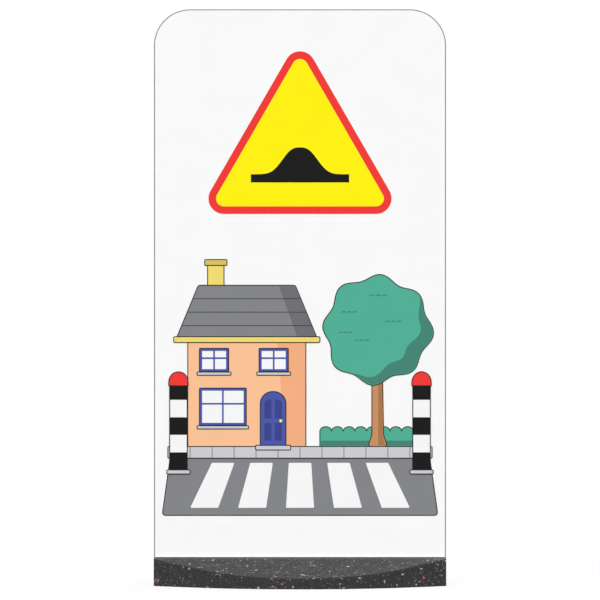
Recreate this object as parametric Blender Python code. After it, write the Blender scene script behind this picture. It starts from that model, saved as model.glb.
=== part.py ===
"""Free-standing pavement sign: a sheet panel in an aluminium shoe rail, screwed into a moulded rubber base.

Metres, +Z up, the front faces -Y. The origin is on the ground, under the middle of the base.
"""

import math

import bmesh
import bpy
from mathutils import Matrix, Vector

# Moulded base
BASE_WIDTH = 0.500
BASE_DEPTH = 0.400
BASE_END_DEPTH = 0.150
BASE_NOSE_WIDTH = 0.204
RIDGE_HEIGHT = 0.047
LIP_HEIGHT = 0.0187
BASE_EDGE_RADIUS = 0.0015
SLOT_LEAD_IN = 0.002
RUBBER_UNDER_RAIL = 0.0091

# Panel: a plastic sheet with a printed film on each face
SHEET_HEIGHT = 0.9554
SHEET_THICKNESS = 0.005
SHEET_END_INSET = 0.0002
SHEET_CORNER_RADIUS = 0.062
SHEET_EDGE_CHAMFER = 0.0005
FILM_THICKNESS = 0.00025
FILM_BOND_GAP = 0.00015
FILM_EDGE_MARGIN = 0.0017
FILM_ABOVE_RAIL = 0.0005

# Shoe rail: an extruded channel on a solid foot
RAIL_ARM_THICKNESS = 0.0032
RAIL_FOOT_HEIGHT = 0.010
RAIL_BELOW_RIDGE = 0.0007
RAIL_EDGE_CHAMFER = 0.0006

# Button-head screws that pull the rail down, from under the base
SCREW_COUNT = 4
SCREW_END_MARGIN = 0.055
SCREW_RADIUS = 0.003
SCREW_TIP_CHAMFER = 0.0008
SCREW_TIP_BELOW_GROOVE = 0.0035
SCREW_HEAD_RADIUS = 0.00525
SCREW_HEAD_HEIGHT = 0.0033
SCREW_HEAD_RECESS = 0.0015
HEX_KEY_FLATS = 0.004
HEX_SOCKET_DEPTH = 0.002

# Under each head, a split washer that keeps it tight and a wide one that spreads its pull
SPLIT_WASHER_RADIUS = 0.0059
SPLIT_WASHER_THICKNESS = 0.0016
SPLIT_WASHER_OPENING = 0.0008
WASHER_RADIUS = 0.010
WASHER_THICKNESS = 0.0016

# Flush rivets that hold the sheet in the rail
RIVET_COUNT = 5
RIVET_END_MARGIN = 0.028
RIVET_RADIUS = 0.0025
RIVET_HEAD_RADIUS = 0.0042
RIVET_SUNK_BELOW_FACE = 0.0002

# Clearances
SEAT_GAP = 0.0003
THREAD_GAP = 0.0003
SCREW_HOLE_CLEARANCE = 0.0005
COUNTERBORE_CLEARANCE = 0.001

# Fineness of the round forms, and how far a cutter runs past what it cuts
BOW_STEPS = 40
CORNER_STEPS = 32
ROUND_STEPS = 24
DOME_STEPS = 5
EDGE_SEGMENTS = 3
CUT_MARGIN = 0.005
MERGE_DISTANCE = 1e-6

# Heights, from the ground up
screw_seat = SCREW_HEAD_RECESS + SCREW_HEAD_HEIGHT
split_washer_bottom = screw_seat + SEAT_GAP
washer_bottom = split_washer_bottom + SPLIT_WASHER_THICKNESS + SEAT_GAP
counterbore_top = washer_bottom + WASHER_THICKNESS + SEAT_GAP
slot_floor = counterbore_top + RUBBER_UNDER_RAIL
rail_bottom = slot_floor + SEAT_GAP
groove_floor = rail_bottom + RAIL_FOOT_HEIGHT
screw_tip = groove_floor - SCREW_TIP_BELOW_GROOVE
sheet_bottom = groove_floor + SEAT_GAP
rail_top = RIDGE_HEIGHT - RAIL_BELOW_RIDGE
rivet_height = (sheet_bottom + rail_top) / 2
sheet_top = sheet_bottom + SHEET_HEIGHT

# Widths, across the panel and along it
rail_groove_width = SHEET_THICKNESS + 2 * SEAT_GAP
rail_width = rail_groove_width + 2 * RAIL_ARM_THICKNESS
slot_width = rail_width + 2 * SEAT_GAP
sheet_width = BASE_WIDTH - 2 * SHEET_END_INSET


def spread(count, length, end_margin):
    """Even places along X, the outer ones an end margin from the ends of a length."""
    first = -length / 2 + end_margin
    pitch = (length - 2 * end_margin) / (count - 1)
    return [first + number * pitch for number in range(count)]


screw_places = spread(SCREW_COUNT, sheet_width, SCREW_END_MARGIN)
rivet_places = spread(RIVET_COUNT, sheet_width, RIVET_END_MARGIN)


def clear_scene():
    """Removes whatever the file holds."""
    for existing in list(bpy.data.objects):
        bpy.data.objects.remove(existing)


def make_material(name, colour, roughness, metallic=0.0):
    """A plain shader with the piece's colour."""
    made = bpy.data.materials.new(name)
    made.use_nodes = True
    shader = made.node_tree.nodes["Principled BSDF"]
    shader.inputs["Base Color"].default_value = (*colour, 1.0)
    shader.inputs["Roughness"].default_value = roughness
    shader.inputs["Metallic"].default_value = metallic
    return made


def add_object(name, bm, material=None, smooth_below=35.0):
    """Puts a bmesh into the scene as a named object, with its round faces shaded smooth."""
    bmesh.ops.recalc_face_normals(bm, faces=bm.faces)
    mesh = bpy.data.meshes.new(name)
    bm.to_mesh(mesh)
    bm.free()
    mesh.shade_smooth()
    mesh.set_sharp_from_angle(angle=math.radians(smooth_below))
    if material:
        mesh.materials.append(material)
    made = bpy.data.objects.new(name, mesh)
    bpy.context.scene.collection.objects.link(made)
    return made


def add_group(name, parent=None):
    """An empty that carries the pieces that move together."""
    made = bpy.data.objects.new(name, None)
    bpy.context.scene.collection.objects.link(made)
    made.parent = parent
    return made


def add_cutters(name):
    """A collection for the cutters of one piece."""
    made = bpy.data.collections.new(name)
    bpy.context.scene.collection.children.link(made)
    return made


def make_cutter(made, cutters):
    """Turns an object into a cutting tool of a collection, left out of renders."""
    bpy.context.scene.collection.objects.unlink(made)
    cutters.objects.link(made)
    made.hide_render = True
    made.display_type = "WIRE"


def cut_with(target, cutters):
    """Takes every cutter of the collection out of the target."""
    cut = target.modifiers.new("cut", "BOOLEAN")
    cut.operation = "DIFFERENCE"
    cut.operand_type = "COLLECTION"
    cut.collection = cutters
    cut.solver = "EXACT"


def round_edges(target, width, segments, over_angle=30.0):
    """Bevels the edges that turn by more than the angle."""
    bevel = target.modifiers.new("edges", "BEVEL")
    bevel.width = width
    bevel.segments = segments
    bevel.limit_method = "ANGLE"
    bevel.angle_limit = math.radians(over_angle)


def extruded(outline, start, along):
    """A prism: a closed outline of 3-D points, moved to its start and pushed along a vector."""
    bm = bmesh.new()
    corners = [bm.verts.new(Vector(point) + Vector(start)) for point in outline]
    pushed = bmesh.ops.extrude_face_region(bm, geom=[bm.faces.new(corners)])
    moved = [item for item in pushed["geom"] if isinstance(item, bmesh.types.BMVert)]
    bmesh.ops.translate(bm, verts=moved, vec=Vector(along))
    return bm


def turned(profile, is_ring=False):
    """A profile of (radius, height) points spun about Z. A ring's closes on itself, clear of the axis."""
    bm = bmesh.new()
    points = [bm.verts.new((radius, 0.0, height)) for radius, height in profile]
    edges = [bm.edges.new(pair) for pair in zip(points, points[1:])]
    if is_ring:
        edges.append(bm.edges.new((points[-1], points[0])))
    bmesh.ops.spin(
        bm, geom=points + edges, cent=(0, 0, 0), axis=(0, 0, 1),
        angle=math.tau, steps=ROUND_STEPS, use_merge=True,
    )
    bmesh.ops.remove_doubles(bm, verts=bm.verts, dist=MERGE_DISTANCE)
    return bm


def ring_profile(hole_radius, rim_radius, bottom, thickness):
    """The square section of a flat ring."""
    top = bottom + thickness
    return [(hole_radius, bottom), (rim_radius, bottom), (rim_radius, top), (hole_radius, top)]


def both_ways(half):
    """A whole turned profile from its upper half, the same below as above, with both ends on the axis."""
    end = half[-1][1]
    below = [(radius, -height) for radius, height in reversed(half)]
    return [(0, -end), *below, *half, (0, end)]


def lay_across(made, x, height):
    """Lays a piece that was made along Z across the rail, along Y."""
    made.matrix_world = Matrix.Translation((x, 0, height)) @ Matrix.Rotation(math.pi / 2, 4, "X")


def base_plan():
    """The base seen from above, front and back alike: a bowed nose between two straight flanks that run back
    to the blunt ends. The nose is one arc that touches both flanks and the middle of the flat nose that they
    aim at."""
    half_width = BASE_WIDTH / 2
    half_end = BASE_END_DEPTH / 2
    half_nose = BASE_NOSE_WIDTH / 2
    flank_angle = math.atan2(BASE_DEPTH / 2 - half_end, half_width - half_nose)
    radius = half_nose / math.tan(flank_angle / 2)
    centre = BASE_DEPTH / 2 - radius
    outline = []
    for side in (-1, 1):
        outline.append((side * half_width, side * half_end, 0))
        for step in range(BOW_STEPS + 1):
            angle = flank_angle * (1 - 2 * step / BOW_STEPS)
            outline.append((side * radius * math.sin(angle), side * (centre + radius * math.cos(angle)), 0))
        outline.append((-side * half_width, side * half_end, 0))
    return outline


def make_base(material):
    """The weighted base: its plan raised to the ridge, with an apron sloped off the front and the back."""
    bm = extruded(base_plan(), (0, 0, 0), (0, 0, RIDGE_HEIGHT))
    apron_run = (BASE_DEPTH - BASE_END_DEPTH) / 2
    apron_drop = RIDGE_HEIGHT - LIP_HEIGHT
    for side in (-1, 1):
        bmesh.ops.bisect_plane(
            bm, geom=bm.verts[:] + bm.edges[:] + bm.faces[:],
            plane_co=(0, side * BASE_END_DEPTH / 2, RIDGE_HEIGHT), plane_no=(0, side * apron_drop, apron_run),
            clear_outer=True, dist=MERGE_DISTANCE,
        )
        rim = [edge for edge in bm.edges if edge.is_boundary]
        bmesh.ops.contextual_create(bm, geom=rim)
    base = add_object("rubber_base", bm, material)
    round_edges(base, BASE_EDGE_RADIUS, EDGE_SEGMENTS)
    cutters = add_cutters("base_cutters")
    make_slot_cutter(cutters)
    for number, x in enumerate(screw_places, start=1):
        make_screw_hole_cutter(number, x, cutters)
    cut_with(base, cutters)
    return base


def make_slot_cutter(cutters):
    """The slot from end to end of the base, with its mouth opened out at 45 degrees."""
    half = slot_width / 2
    mouth = RIDGE_HEIGHT - SLOT_LEAD_IN
    above = RIDGE_HEIGHT + CUT_MARGIN
    flare = half + above - mouth
    outline = [
        (0, -half, slot_floor), (0, half, slot_floor), (0, half, mouth),
        (0, flare, above), (0, -flare, above), (0, -half, mouth),
    ]
    length = BASE_WIDTH + 2 * CUT_MARGIN
    make_cutter(add_object("slot_cutter", extruded(outline, (-length / 2, 0, 0), (length, 0, 0))), cutters)


def make_screw_hole_cutter(number, x, cutters):
    """A counterbore for the head and washers, and a clearance hole for the screw, up into the slot."""
    bore = WASHER_RADIUS + COUNTERBORE_CLEARANCE
    hole = SCREW_RADIUS + SCREW_HOLE_CLEARANCE
    end = slot_floor + CUT_MARGIN
    profile = [
        (0, -CUT_MARGIN), (bore, -CUT_MARGIN), (bore, counterbore_top),
        (hole, counterbore_top), (hole, end), (0, end),
    ]
    cutter = add_object(f"screw_hole_cutter_{number}", turned(profile))
    cutter.location.x = x
    make_cutter(cutter, cutters)


def round_topped(width, bottom, top, corner_radius):
    """An upright outline in the XZ plane: square at the bottom, with two quarter rounds at the top."""
    half = width / 2
    outline = [(-half, 0, bottom), (half, 0, bottom)]
    for centre, first_angle in ((half - corner_radius, 0), (corner_radius - half, 90)):
        for step in range(CORNER_STEPS + 1):
            angle = math.radians(first_angle + 90 * step / CORNER_STEPS)
            x = centre + corner_radius * math.cos(angle)
            outline.append((x, 0, top - corner_radius + corner_radius * math.sin(angle)))
    return outline


def make_sheet(material):
    """The stiff sheet between the two printed films, with its edges eased and its rivet holes drilled."""
    outline = round_topped(sheet_width, sheet_bottom, sheet_top, SHEET_CORNER_RADIUS)
    bm = extruded(outline, (0, -SHEET_THICKNESS / 2, 0), (0, SHEET_THICKNESS, 0))
    sheet = add_object("panel_sheet", bm, material)
    round_edges(sheet, SHEET_EDGE_CHAMFER, segments=1, over_angle=60.0)
    cutters = add_cutters("sheet_cutters")
    hole = RIVET_RADIUS + SEAT_GAP
    end = SHEET_THICKNESS / 2 + CUT_MARGIN
    for number, x in enumerate(rivet_places, start=1):
        cutter = add_object(f"sheet_hole_cutter_{number}", turned(both_ways([(hole, end)])))
        lay_across(cutter, x, rivet_height)
        make_cutter(cutter, cutters)
    cut_with(sheet, cutters)
    return sheet


def make_film(name, side, material):
    """A printed film on one face of the sheet, trimmed short of its edges and just above the rail."""
    width = sheet_width - 2 * FILM_EDGE_MARGIN
    bottom = rail_top + FILM_ABOVE_RAIL
    top = sheet_top - FILM_EDGE_MARGIN
    outline = round_topped(width, bottom, top, SHEET_CORNER_RADIUS - FILM_EDGE_MARGIN)
    inner_face = side * (SHEET_THICKNESS / 2 + FILM_BOND_GAP)
    return add_object(name, extruded(outline, (0, inner_face, 0), (0, side * FILM_THICKNESS, 0)), material)


def make_rail(material):
    """The shoe rail: two arms that grip the sheet, on a solid foot that the screws pull down."""
    outer = rail_width / 2
    inner = rail_groove_width / 2
    outline = [
        (0, -outer, rail_bottom), (0, outer, rail_bottom), (0, outer, rail_top), (0, inner, rail_top),
        (0, inner, groove_floor), (0, -inner, groove_floor), (0, -inner, rail_top), (0, -outer, rail_top),
    ]
    rail = add_object("shoe_rail", extruded(outline, (-sheet_width / 2, 0, 0), (sheet_width, 0, 0)), material)
    round_edges(rail, RAIL_EDGE_CHAMFER, segments=1)
    cutters = add_cutters("rail_cutters")
    for number, x in enumerate(rivet_places, start=1):
        cutter = add_object(f"rivet_hole_cutter_{number}", turned(rivet_hole_profile()))
        lay_across(cutter, x, rivet_height)
        make_cutter(cutter, cutters)
    hole = SCREW_RADIUS + THREAD_GAP
    start = rail_bottom - CUT_MARGIN
    end = groove_floor + CUT_MARGIN
    tapped_profile = [(0, start), (hole, start), (hole, end), (0, end)]
    for number, x in enumerate(screw_places, start=1):
        cutter = add_object(f"tapped_hole_cutter_{number}", turned(tapped_profile))
        cutter.location.x = x
        make_cutter(cutter, cutters)
    cut_with(rail, cutters)
    return rail


def rivet_half_profile(clearance=0.0):
    """Half a flush rivet: the shank's end, and the rim of the head that opens from it at 45 degrees."""
    face = rail_width / 2 - RIVET_SUNK_BELOW_FACE
    cone_start = face - (RIVET_HEAD_RADIUS - RIVET_RADIUS)
    return [(RIVET_RADIUS + clearance, cone_start), (RIVET_HEAD_RADIUS + clearance, face)]


def rivet_hole_profile():
    """The countersunk hole, which follows the rivet with a clearance and runs on past the rail's faces."""
    half = rivet_half_profile(SEAT_GAP)
    rim_radius, face = half[-1]
    return both_ways(half + [(rim_radius, face + CUT_MARGIN)])


def make_rivet(number, x, material):
    """One rivet across the rail and the sheet."""
    rivet = add_object(f"rail_rivet_{number}", turned(both_ways(rivet_half_profile())), material)
    lay_across(rivet, x, rivet_height)
    return rivet


def make_screw(number, x, material):
    """A button-head screw with a hex socket, head down, its shank up in the rail's foot."""
    angles = [math.pi / 2 * step / DOME_STEPS for step in range(DOME_STEPS + 1)]
    dome = [
        (SCREW_HEAD_RADIUS * math.sin(angle), screw_seat - SCREW_HEAD_HEIGHT * math.cos(angle))
        for angle in angles
    ]
    shank = [
        (SCREW_RADIUS, screw_seat), (SCREW_RADIUS, screw_tip - SCREW_TIP_CHAMFER),
        (SCREW_RADIUS - SCREW_TIP_CHAMFER, screw_tip), (0, screw_tip),
    ]
    screw = add_object(f"base_screw_{number}", turned(dome + shank), material)
    screw.location.x = x
    cutters = add_cutters(f"screw_cutters_{number}")
    key_length = HEX_SOCKET_DEPTH + CUT_MARGIN
    corner_radius = HEX_KEY_FLATS / math.sqrt(3)
    bm = bmesh.new()
    bmesh.ops.create_cone(
        bm, cap_ends=True, segments=6, depth=key_length, radius1=corner_radius, radius2=corner_radius,
    )
    key = add_object(f"hex_key_cutter_{number}", bm)
    key.location = (x, 0, SCREW_HEAD_RECESS + HEX_SOCKET_DEPTH - key_length / 2)
    make_cutter(key, cutters)
    cut_with(screw, cutters)
    return screw


def make_split_washer(number, x, material):
    """A spring washer: a ring sawn through at one side."""
    profile = ring_profile(
        SCREW_RADIUS + THREAD_GAP, SPLIT_WASHER_RADIUS, split_washer_bottom, SPLIT_WASHER_THICKNESS,
    )
    washer = add_object(f"split_washer_{number}", turned(profile, is_ring=True), material)
    washer.location.x = x
    cutters = add_cutters(f"split_washer_cutters_{number}")
    half = SPLIT_WASHER_OPENING / 2
    reach = SPLIT_WASHER_RADIUS + CUT_MARGIN
    outline = [(0, -half, 0), (reach, -half, 0), (reach, half, 0), (0, half, 0)]
    saw_height = SPLIT_WASHER_THICKNESS + 2 * CUT_MARGIN
    bm = extruded(outline, (x, 0, split_washer_bottom - CUT_MARGIN), (0, 0, saw_height))
    make_cutter(add_object(f"saw_cutter_{number}", bm), cutters)
    cut_with(washer, cutters)
    return washer


def make_washer(number, x, material):
    """A wide flat washer that spreads the screw's pull over the rubber."""
    profile = ring_profile(SCREW_RADIUS + THREAD_GAP, WASHER_RADIUS, washer_bottom, WASHER_THICKNESS)
    washer = add_object(f"base_washer_{number}", turned(profile, is_ring=True), material)
    washer.location.x = x
    return washer


def main():
    """Builds every piece and hangs each on the group that it moves with."""
    clear_scene()
    rubber = make_material("recycled_rubber", (0.052, 0.052, 0.054), 0.75)
    core = make_material("grey_core_sheet", (0.17, 0.17, 0.175), 0.55)
    film = make_material("white_print_film", (0.90, 0.90, 0.90), 0.35)
    aluminium = make_material("mill_aluminium", (0.66, 0.67, 0.68), 0.38, 0.9)
    steel = make_material("stainless_steel", (0.55, 0.55, 0.56), 0.30, 1.0)

    base_group = add_group("base_group")
    on_base = [make_base(rubber)]
    for number, x in enumerate(screw_places, start=1):
        on_base.append(make_screw(number, x, steel))
        on_base.append(make_split_washer(number, x, steel))
        on_base.append(make_washer(number, x, steel))
    for piece in on_base:
        piece.parent = base_group

    panel_group = add_group("panel_group", base_group)
    on_panel = [make_rail(aluminium), make_sheet(core)]
    on_panel.append(make_film("front_print_film", -1, film))
    on_panel.append(make_film("rear_print_film", 1, film))
    for number, x in enumerate(rivet_places, start=1):
        on_panel.append(make_rivet(number, x, aluminium))
    for piece in on_panel:
        piece.parent = panel_group


main()
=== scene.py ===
# %% [markdown]
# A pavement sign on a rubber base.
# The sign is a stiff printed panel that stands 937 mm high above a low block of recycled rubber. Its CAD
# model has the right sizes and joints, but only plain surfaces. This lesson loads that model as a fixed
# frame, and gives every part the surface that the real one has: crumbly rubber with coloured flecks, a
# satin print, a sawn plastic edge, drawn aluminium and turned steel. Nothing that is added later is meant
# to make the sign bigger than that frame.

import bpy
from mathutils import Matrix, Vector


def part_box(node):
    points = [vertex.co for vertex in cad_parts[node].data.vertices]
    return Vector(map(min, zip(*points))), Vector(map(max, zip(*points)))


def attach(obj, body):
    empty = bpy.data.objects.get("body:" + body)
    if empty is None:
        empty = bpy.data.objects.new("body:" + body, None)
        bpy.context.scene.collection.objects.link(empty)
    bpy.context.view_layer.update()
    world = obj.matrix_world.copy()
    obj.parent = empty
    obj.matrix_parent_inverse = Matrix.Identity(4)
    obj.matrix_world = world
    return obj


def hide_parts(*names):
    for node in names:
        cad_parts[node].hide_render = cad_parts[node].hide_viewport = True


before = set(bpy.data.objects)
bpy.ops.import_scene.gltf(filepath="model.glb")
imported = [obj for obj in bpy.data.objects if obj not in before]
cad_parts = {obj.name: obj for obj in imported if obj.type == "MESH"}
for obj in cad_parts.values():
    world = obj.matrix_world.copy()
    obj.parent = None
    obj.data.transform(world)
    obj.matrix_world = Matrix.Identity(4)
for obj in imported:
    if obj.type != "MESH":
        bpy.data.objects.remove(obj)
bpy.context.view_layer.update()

# %% [markdown]
# Sizes are taken from the frame and never typed twice.
# A sign maker measures the base before making anything that has to fit it. The numbers could be copied
# from the CAD source, but then a change there would leave them behind. So every new piece here starts from
# the box of the CAD node that carries it.

# %% measure the base
import math

import bpy
import numpy as np

MM = 0.001


def box_of(node):
    """The lowest and the highest corner of a CAD node at rest, as arrays."""
    return [np.array(corner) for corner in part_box(node)]


base_low, base_high = box_of("rubber_base")
half_width, half_depth, ridge_height = [float(v) for v in base_high]
print("base in mm:", np.round(base_low / MM, 1), "to", np.round(base_high / MM, 1))

# %% [markdown]
# The plan of the rubber base.
# Seen from above the front and the back of the real base are alike: a bowed nose between two straight
# flanks, which run back to the blunt ends. The plan could be a list of measured points, but then its curve
# would be stuck. Here the nose is one arc that touches both flanks, so its radius isn't free: it is half
# the nose's width over the tangent of half the flank's angle. Three sizes are given, and the rest follows
# from the box.

# %% the sizes of the plan
END_HALF_DEPTH = 75 * MM
HALF_NOSE = 102 * MM
CORNER_ROUND = 5 * MM
flank_angle = math.atan2(half_depth - END_HALF_DEPTH, half_width - HALF_NOSE)
flank_normal_angle = math.pi / 2 - flank_angle
bow_radius = HALF_NOSE / math.tan(flank_angle / 2)
bow_centre = half_depth - bow_radius
corner_x = half_width - CORNER_ROUND
corner_y = END_HALF_DEPTH + CORNER_ROUND * (math.tan(flank_angle) - 1 / math.cos(flank_angle))
print("bow radius in mm:", round(bow_radius / MM, 1), "flank angle:", round(math.degrees(flank_angle), 1))

# %% [markdown]
# Arcs and straight runs.
# The base's outline is cut from these two. A curve object would round them by itself, but it wouldn't say
# which way is out. Here each point keeps its outward normal, because every rounded edge of the moulding is
# then the same short quarter circle, carried round the outline.

# %% arcs, straight runs and their mirror images


def arc(centre, radius, first, last, steps):
    """Points and normals of an arc: at each angle the normal is (cosine, sine), and the point is the centre
    plus the radius along it."""
    angle = np.linspace(first, last, steps + 1)
    normal = np.stack([np.cos(angle), np.sin(angle)], axis=1)
    return np.array(centre) + radius * normal, normal


def between(first, last, steps):
    """The points inside a straight run: first plus a growing share of the way to last."""
    share = np.linspace(0, 1, steps + 1)[1:-1, None]
    return first + share * (last - first)


def mirrored(points, flip):
    """The same points in the opposite order, each multiplied by flip."""
    return (points * np.array(flip, float))[::-1]


print("half a turn in two steps:", arc((0, 0), 1.0, 0.0, math.pi, 2)[0].round(2).tolist())

# %% [markdown]
# Walking round the plan.
# The real base is alike left and right, and front and back. So only a quarter of the walk round it is
# worked out: from the middle of the right end along the end, round the corner, up the flank and along the
# bow to the middle of the back. The rest could be worked out too, but mirror images can't disagree. The
# walk is then turned so that it starts at the front left corner.

# %% the outline of the base
HALF_END_STEPS = 81
HALF_CORNER_STEPS = 3
FLANK_STEPS = 44
HALF_BOW_STEPS = 97
HALF_ACROSS = HALF_END_STEPS + HALF_CORNER_STEPS
ACROSS = 2 * HALF_ACROSS
ALONG = 2 * (HALF_CORNER_STEPS + FLANK_STEPS + HALF_BOW_STEPS)


def quarter_walk():
    """Points and normals of a quarter: the end is a straight run at x = half_width, the flank is a straight
    run from arc to arc, and the corner and the bow are arcs."""
    corner, corner_normal = arc(
        (corner_x, corner_y), CORNER_ROUND, 0.0, flank_normal_angle, 2 * HALF_CORNER_STEPS
    )
    bow, bow_normal = arc((0.0, bow_centre), bow_radius, flank_normal_angle, math.pi / 2, HALF_BOW_STEPS)
    start = np.array([[half_width, 0.0]])
    end = np.concatenate([start, between(start[0], corner[0], HALF_END_STEPS)])
    flank = between(corner[-1], bow[0], FLANK_STEPS)
    end_normal = np.tile([1.0, 0.0], (len(end), 1))
    flank_normal = np.tile(bow_normal[0], (len(flank), 1))
    normals = np.concatenate([end_normal, corner_normal, flank_normal, bow_normal])
    return np.concatenate([end, corner, flank, bow]), normals


def whole_walk(quarter):
    """The quarter and its mirror image make the back half, and the front half is the back half turned half
    round, which changes the sign of x and y."""
    half = np.concatenate([quarter, mirrored(quarter, (-1, 1))[1:-1]])
    return np.roll(np.concatenate([half, -half]), -(len(half) + HALF_ACROSS), axis=0)


outline, outward = [whole_walk(quarter) for quarter in quarter_walk()]
print("points round the base:", len(outline))

# %% [markdown]
# The rise of the top.
# The moulding has a level strip along its ridge, where the panel stands, and two aprons that fall away to
# a low lip and shed the rain. Flat faces would meet there in a crease as sharp as a knife, which no mould
# has, so a short parabola joins the strip and the apron. One rule then gives the height anywhere, from the
# depth.

# %% the height of the top
LIP = 18.7 * MM
CREASE = 5 * MM
apron_fall = (ridge_height - LIP) / (half_depth - END_HALF_DEPTH)


def top_height(y):
    """Height of the top at depth y and how steeply it falls there. Past the level strip it falls in a
    straight line, and within 5 mm of the crease it follows the parabola that joins the two smoothly."""
    past = np.abs(y) - END_HALF_DEPTH
    bend = (past + CREASE) ** 2 / (4 * CREASE)
    drop = np.where(past < -CREASE, 0.0, np.where(past > CREASE, past, bend))
    steep = np.clip((past + CREASE) / (2 * CREASE), 0.0, 1.0)
    return ridge_height - apron_fall * drop, apron_fall * steep * np.sign(y)


print("the apron falls by", round(math.degrees(math.atan(apron_fall)), 1), "degrees")

# %% [markdown]
# The band round the base.
# The lower edge, the wall and the upper edge are one grid: its columns follow the outline, and its rows
# climb from the underside to the top. A Bevel modifier could round the edges, but its width drifts where
# the wall meets a sloping top. Here both edges are rolled by a ball of 1.5 mm. The upper one stops where
# the ball touches the top, so its last angle changes along the outline, and the ball sits lower where the
# top is steep.

# %% the band: lower edge, wall and upper edge
EDGE_ROUND = 1.5 * MM
WALL_STEPS = 13
ROUND_STEPS = 4
fall_out = top_height(outline[:, 1])[1] * outward[:, 1]
last_angle = np.arctan2(1.0, fall_out)
inner = outline - EDGE_ROUND * outward
ball_height = top_height(inner[:, 1])[0] - EDGE_ROUND * np.sqrt(1 + fall_out**2)
turn_under = np.linspace(-math.pi / 2, 0, ROUND_STEPS + 1)[:, None] * np.ones(len(outline))
climb = np.linspace(0, 1, WALL_STEPS + 1)[1:-1, None]
turn_over = np.linspace(0, 1, ROUND_STEPS + 1)[:, None] * last_angle
angle = np.concatenate([turn_under, climb * 0 * last_angle, turn_over])
height = np.concatenate([
    EDGE_ROUND + EDGE_ROUND * np.sin(turn_under),
    EDGE_ROUND + climb * (ball_height - EDGE_ROUND),
    ball_height + EDGE_ROUND * np.sin(turn_over),
])
reach = np.cos(angle)[:, :, None] * outward
band = np.concatenate([inner + EDGE_ROUND * reach, height[:, :, None]], axis=2)
band_normal = np.concatenate([reach, np.sin(angle)[:, :, None]], axis=2)
band_edge = np.clip(np.sin(2 * np.abs(angle)), 0, 1)
heights = [round(float(v) / MM, 2) for v in (height.min(), height.max())]
print("band grid:", band.shape[:2], "lowest and highest in mm:", heights)

# %% [markdown]
# Filling the top and the underside.
# A fan of triangles would do for a flat top, but the crumb's relief needs even little squares. So the top
# is blended inwards from its four sides: the sum of the two ways to join opposite sides, less the patch
# that its four corners alone would make. Its rim is the band's own last row, so the skin has no gap there.
# The underside is rings that shrink to its middle.

# %% the top patch and the rings underneath
UNDER_RINGS = 9
RING_CROWDING = 0.8


def four_sides(ring):
    """Cuts a ring of outline values into south, east, north and west, each with both of its corners."""
    closed = np.concatenate([ring, ring[:1]])
    south = closed[: ALONG + 1]
    east = closed[ALONG : ALONG + ACROSS + 1]
    north = closed[ALONG + ACROSS : 2 * ALONG + ACROSS + 1][::-1]
    west = closed[2 * ALONG + ACROSS :][::-1]
    return south, east, north, west


def blend_sides(south, east, north, west):
    """Grid of points from four sides: (1 - v) south + v north + (1 - u) west + u east, less the blend of
    the four corners. South and north run with u, and west and east run with v."""
    u = np.linspace(0, 1, len(south))[None, :, None]
    v = np.linspace(0, 1, len(west))[:, None, None]
    between_rows = (1 - v) * south[None] + v * north[None]
    between_columns = (1 - u) * west[:, None] + u * east[:, None]
    low = (1 - u) * south[0] + u * south[-1]
    high = (1 - u) * north[0] + u * north[-1]
    return between_rows + between_columns - ((1 - v) * low + v * high)


plan = blend_sides(*four_sides(band[-1, :, :2]))
top_z, top_fall = top_height(plan[..., 1])
top = np.concatenate([plan, top_z[..., None]], axis=2)
top_normal = np.stack([np.zeros_like(top_fall), top_fall, np.ones_like(top_fall)], axis=2)
top_normal /= np.linalg.norm(top_normal, axis=2, keepdims=True)
shrink = np.linspace(1, 0, UNDER_RINGS + 1)[1:-1, None, None] ** RING_CROWDING
under_plan = band[0, :, :2] * shrink
under = np.concatenate([under_plan, np.zeros((*under_plan.shape[:2], 1))], axis=2)
print("top grid:", top.shape[:2], "rings underneath:", len(under))

# %% [markdown]
# The crumb's relief.
# Pressed crumb is never quite flat. A bump in the material could fake that, but an edge would still look
# as if it were drawn with a ruler. So the points themselves are pushed in along their normals, never out,
# which keeps the block inside its CAD box: fine grains, a slow unevenness from the press, and deeper nicks
# along the edges, where moulded rubber tears.

# %% the relief of the crumb
LATTICE = 32
GRAIN_SIZE = 4 * MM
GRAIN_DEPTH = 0.16 * MM
SPECK_SIZE = 2.6 * MM
SPECK_DEPTH = 0.07 * MM
WAVE_SIZE = 25 * MM
WAVE_DEPTH = 0.16 * MM
NICK_SIZE = 5 * MM
NICK_DEPTH = 0.9 * MM
NICK_LIMIT = 0.72
random = np.random.default_rng(41)
lattice = random.random((LATTICE, LATTICE, LATTICE))


def lumps(points, grain):
    """Smooth noise from 0 to 1: random numbers on a cubic lattice of the grain's pitch, and between its
    corners their average, weighted by 3t^2 - 2t^3 along each axis."""
    cell = points / grain
    low = np.floor(cell).astype(int)
    t = cell - low
    t = t * t * (3 - 2 * t)
    total = np.zeros(len(points))
    for corner in np.ndindex(2, 2, 2):
        weight = np.prod(np.where(np.array(corner) == 1, t, 1 - t), axis=1)
        x, y, z = ((low + corner) % LATTICE).T
        total += weight * lattice[x, y, z]
    return total


def pressed_in(points, edge):
    """Depth of the relief: squared lumps for grains, small lumps for specks, slow lumps for unevenness,
    and the part of the lumps above a limit for nicks where edge is 1. The shifts keep the four from
    lining up."""
    grains = GRAIN_DEPTH * lumps(points, GRAIN_SIZE) ** 2 + SPECK_DEPTH * lumps(points + 0.5, SPECK_SIZE)
    waves = WAVE_DEPTH * lumps(points + 1.0, WAVE_SIZE)
    nicks = NICK_DEPTH * np.clip(lumps(points + 2.0, NICK_SIZE) - NICK_LIMIT, 0, 1) * edge
    return grains + waves + nicks


deepest = GRAIN_DEPTH + SPECK_DEPTH + WAVE_DEPTH + NICK_DEPTH * (1 - NICK_LIMIT)
print("the relief is at most", round(deepest / MM, 2), "mm deep")

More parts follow.
